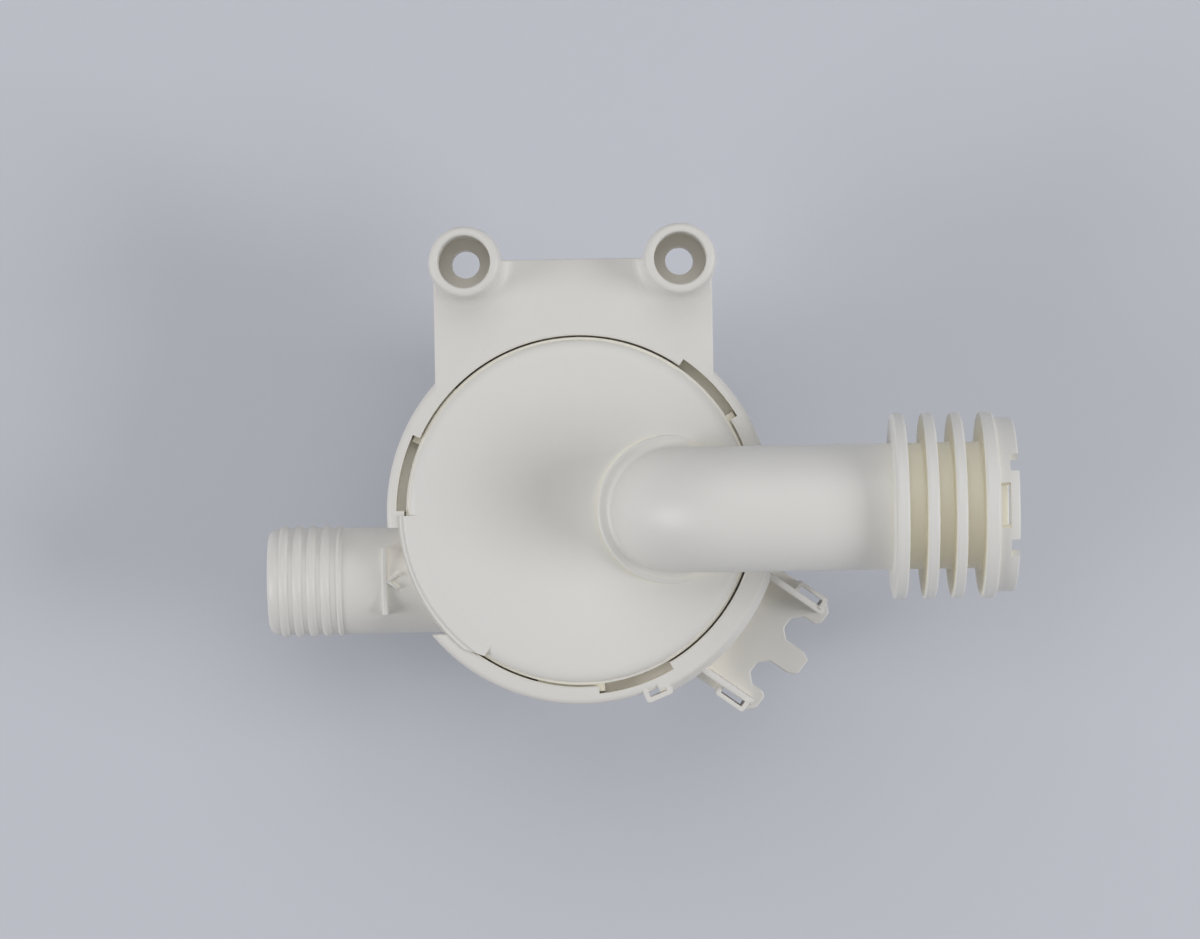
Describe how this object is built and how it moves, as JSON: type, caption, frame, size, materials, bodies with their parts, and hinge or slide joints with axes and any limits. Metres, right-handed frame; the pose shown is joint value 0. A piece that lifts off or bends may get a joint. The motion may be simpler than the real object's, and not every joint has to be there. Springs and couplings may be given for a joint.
{
  "type": "drain valve",
  "caption": "Motor-driven rotary shutter drain valve with a bayonet cover, finned elbow inlet, ribbed hose outlet and a mounting plate with bosses.",
  "frame": {"origin": "on the shutter's axis, at the back face of the drive", "axes": "+X out of the inlet tube, +Y towards the mounting bosses, +Z to the cover side"},
  "size_m": [0.1317, 0.0873, 0.0792],
  "materials": {
    "ivory_body": "satin moulded polypropylene, ivory",
    "ivory_cover": "satin moulded polypropylene, ivory",
    "seal_rubber": "matt black rubber",
    "white_acetal": "smooth white acetal",
    "stainless": "ground stainless steel",
    "spring_steel": "spring steel",
    "bronze": "sintered bronze",
    "ferrite": "dark grey ferrite",
    "zinc_steel": "zinc plated sheet steel",
    "black_nylon": "black nylon",
    "copper_wire": "enamelled copper wire",
    "tinned_brass": "tinned brass"
  },
  "bodies": {
    "housing": {"valve_body": "ivory_body", "chamber_floor": "ivory_body", "mounting_plate": "ivory_body", "wire_bracket": "ivory_body", "hose_spigot": "ivory_body", "spindle_bush": "bronze", "spindle_seal": "seal_rubber", "seal_washer": "stainless", "drive_case": "zinc_steel", "gear_plate": "zinc_steel", "drive_lid": "zinc_steel", "drive_screws": "spring_steel", "coil_bobbin": "black_nylon", "coil_winding": "copper_wire", "stator_lower_plate": "zinc_steel", "stator_upper_plate": "zinc_steel", "rotor_axle": "stainless", "first_gear_axle": "stainless", "second_gear_axle": "stainless", "terminal_block": "black_nylon", "terminal_blades": "tinned_brass"},
    "cover": {"cover": "ivory_cover", "cover_seal": "seal_rubber", "port_seal": "seal_rubber"},
    "shutter": {"shutter_disc": "white_acetal", "spindle": "stainless", "shutter_clip": "spring_steel", "thrust_washer": "white_acetal", "output_gear": "white_acetal"},
    "first_gear": {"first_gear": "white_acetal"},
    "second_gear": {"second_gear": "white_acetal"},
    "rotor": {"rotor_magnet": "ferrite", "rotor_pinion": "white_acetal"}
  },
  "joints": [
    {"name": "cover_twist", "type": "hinge", "parent": "housing", "child": "cover", "pos_m": [0, 0, 0.05], "axis": [0, 0, 1], "range_deg": [0, 21.3]},
    {"name": "rotor_turn", "type": "hinge", "parent": "housing", "child": "rotor", "pos_m": [0.00896, -0.00639, 0.01], "axis": [0, 0, 1], "range_deg": [-2047.08, 0]},
    {"name": "first_gear_turn", "type": "hinge", "parent": "housing", "child": "first_gear", "pos_m": [0.01923, -0.00121, 0.014], "axis": [0, 0, 1], "range_deg": [0, 722.5]},
    {"name": "second_gear_turn", "type": "hinge", "parent": "housing", "child": "second_gear", "pos_m": [0.01001, 0.00566, 0.016], "axis": [0, 0, 1], "range_deg": [-255, 0]},
    {"name": "shutter_turn", "type": "hinge", "parent": "housing", "child": "shutter", "pos_m": [0, 0, 0.03], "axis": [0, 0, 1], "range_deg": [0, 90]}
  ],
  "couplings": [
    {"joint": "first_gear_turn", "follows": "rotor_turn", "ratio": -0.35294},
    {"joint": "second_gear_turn", "follows": "rotor_turn", "ratio": 0.12457},
    {"joint": "shutter_turn", "follows": "rotor_turn", "ratio": -0.043965}
  ]
}
